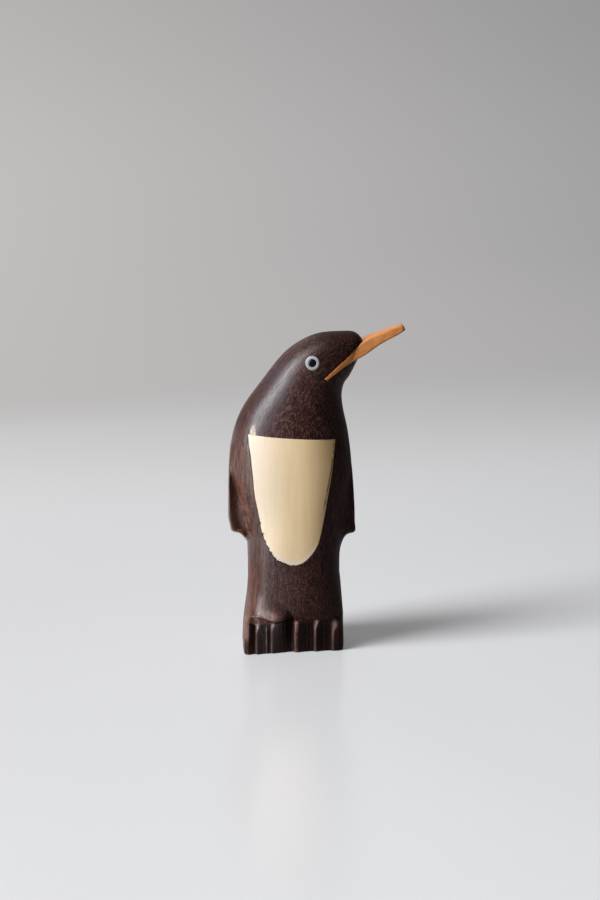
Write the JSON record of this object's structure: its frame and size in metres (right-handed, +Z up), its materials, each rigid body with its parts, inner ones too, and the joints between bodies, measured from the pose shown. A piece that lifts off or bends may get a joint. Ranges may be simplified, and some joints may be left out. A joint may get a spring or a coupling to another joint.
{
  "type": "penguin figurine",
  "caption": "Carved dark wood penguin ornament with a pale inlaid belly panel, a slim tapered beak set in a slot across the turned head, and inlaid ring eyes; it stands on a flat sole.",
  "frame": {"origin": "on the flat sole, under the middle of the trunk", "axes": "+Z up, the belly faces -Y, the head and beak turn to +X"},
  "size_m": [0.0506, 0.0281, 0.0919],
  "materials": {
    "dark_wood": "oiled and polished to a satin sheen, fine pores",
    "pale_wood": "smooth satin, fine straight grain",
    "beak_wood": "smooth satin, straight grain",
    "eye_white": "polished flush",
    "eye_black": "polished flush"
  },
  "bodies": {
    "root": {"carved_body": "dark_wood", "belly_inlay": "pale_wood", "beak": "beak_wood", "front_eye_ring": "eye_white", "front_eye_pupil": "eye_black", "back_eye_ring": "eye_white", "back_eye_pupil": "eye_black"}
  },
  "joints": []
}
